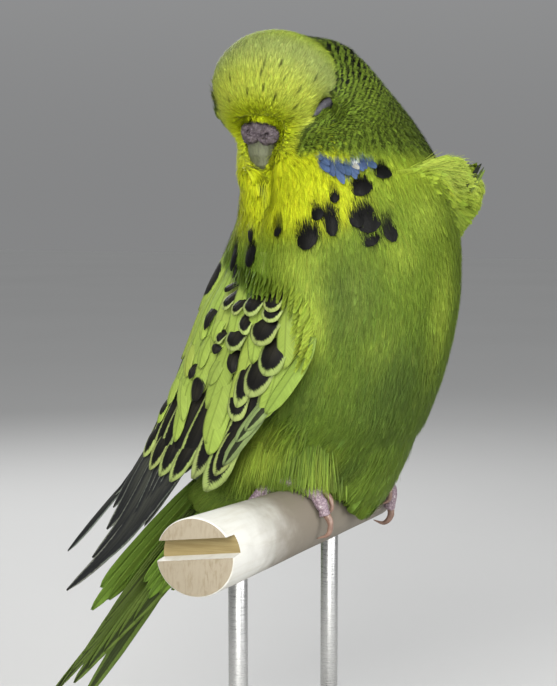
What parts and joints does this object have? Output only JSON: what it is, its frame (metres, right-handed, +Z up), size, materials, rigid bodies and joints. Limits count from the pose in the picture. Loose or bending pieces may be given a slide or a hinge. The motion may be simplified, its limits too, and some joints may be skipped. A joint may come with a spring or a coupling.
{
  "type": "budgerigar",
  "caption": "Life-size still model of a resting budgerigar gripping a short round perch, head turned and tucked towards its right, on a round display stand with plain rods.",
  "frame": {"origin": "centre of the display base's underside, on the surface it rests on", "axes": "+Z up; the breast faces -Y, the bird's left side is +X, the perch runs along X"},
  "size_m": [0.1156, 0.1367, 0.1959],
  "materials": {
    "plumage_body": "matte",
    "plumage_neck": "matte",
    "plumage_head": "matte",
    "plumage_wing": "matte",
    "plumage_tail": "matte",
    "cere_skin": "matte",
    "beak_horn": "satin",
    "eyelid_skin": "matte",
    "foot_skin": "matte",
    "perch_wood": "matte",
    "stand_wood": "satin",
    "stand_rod_steel": "satin"
  },
  "bodies": {
    "root": {"torso": "plumage_body", "neck": "plumage_neck", "head": "plumage_head", "cere": "cere_skin", "beak_upper": "beak_horn", "beak_lower": "beak_horn", "eye_right": "eyelid_skin", "eye_left": "eyelid_skin", "wing_right": "plumage_wing", "wing_left": "plumage_wing", "tail": "plumage_tail", "foot_right": "foot_skin", "foot_left": "foot_skin", "perch": "perch_wood", "stand_base": "stand_wood", "stand_rod_right": "stand_rod_steel", "stand_rod_left": "stand_rod_steel"}
  },
  "joints": []
}
